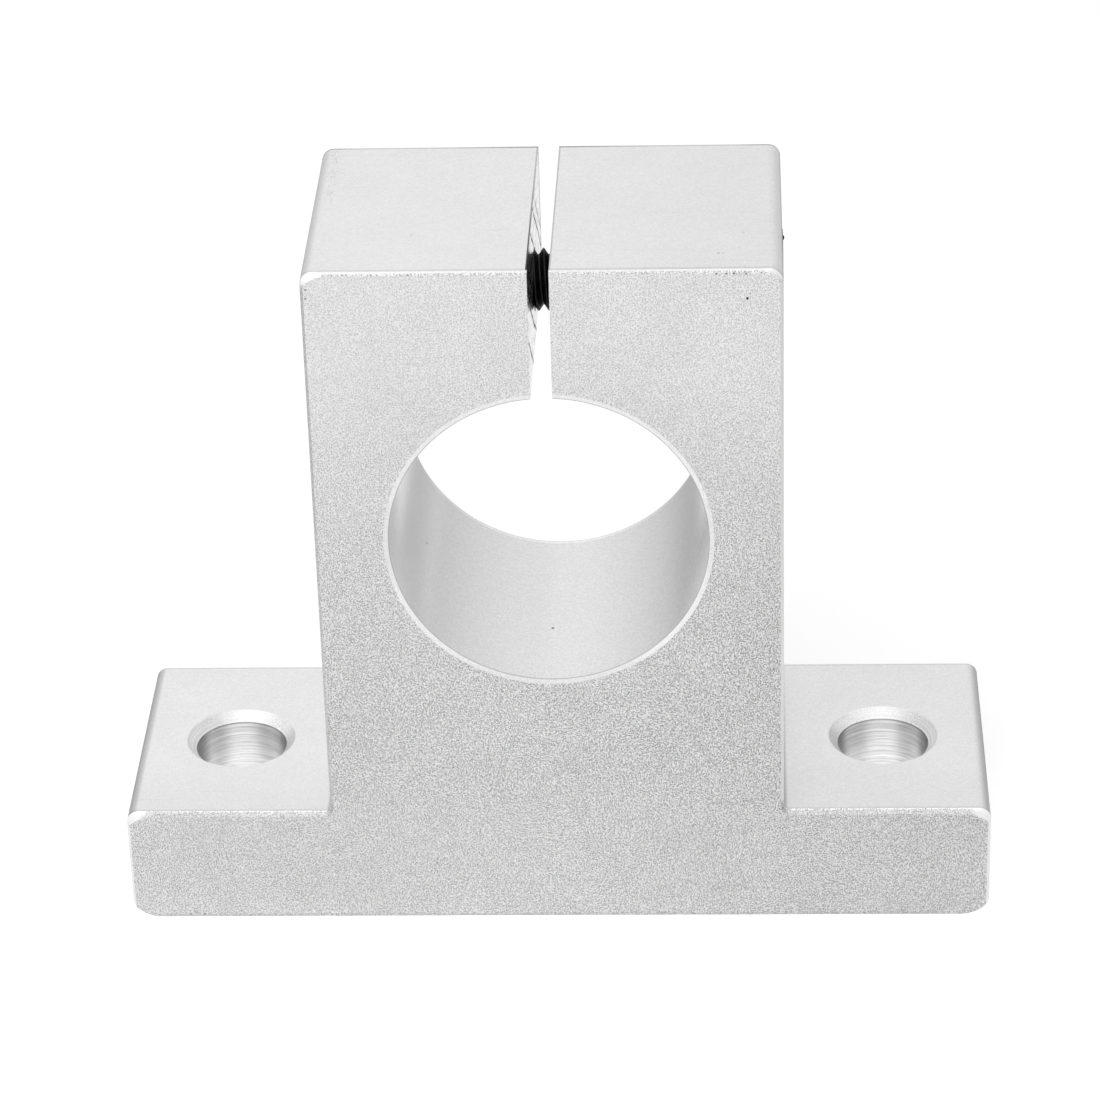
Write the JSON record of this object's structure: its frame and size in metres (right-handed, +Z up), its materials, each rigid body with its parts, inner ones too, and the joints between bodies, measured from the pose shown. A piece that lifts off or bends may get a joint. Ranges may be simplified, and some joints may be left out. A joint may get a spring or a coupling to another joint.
{
  "type": "shaft support block",
  "caption": "Split shaft support block: a bolt-down foot carries a slotted clamp bore for a round shaft, drawn shut by a socket head cross screw.",
  "frame": {"origin": "centre of the foot's underside", "axes": "+X towards the clamp screw's head, +Y along the shaft towards the back, +Z up from the foot"},
  "size_m": [0.084, 0.028, 0.07],
  "materials": {
    "blasted_aluminium": "fine matt blast on the faces, bright cut edges",
    "blackened_steel": "black oxide with a little oil"
  },
  "bodies": {
    "block": {"support_block": "blasted_aluminium"},
    "screw": {"clamp_screw": "blackened_steel"}
  },
  "joints": [
    {"name": "clamp_screw_turn", "type": "hinge", "parent": "block", "child": "screw", "pos_m": [0, 0, 0.0625], "axis": [-1, 0, 0], "continuous": true}
  ]
}
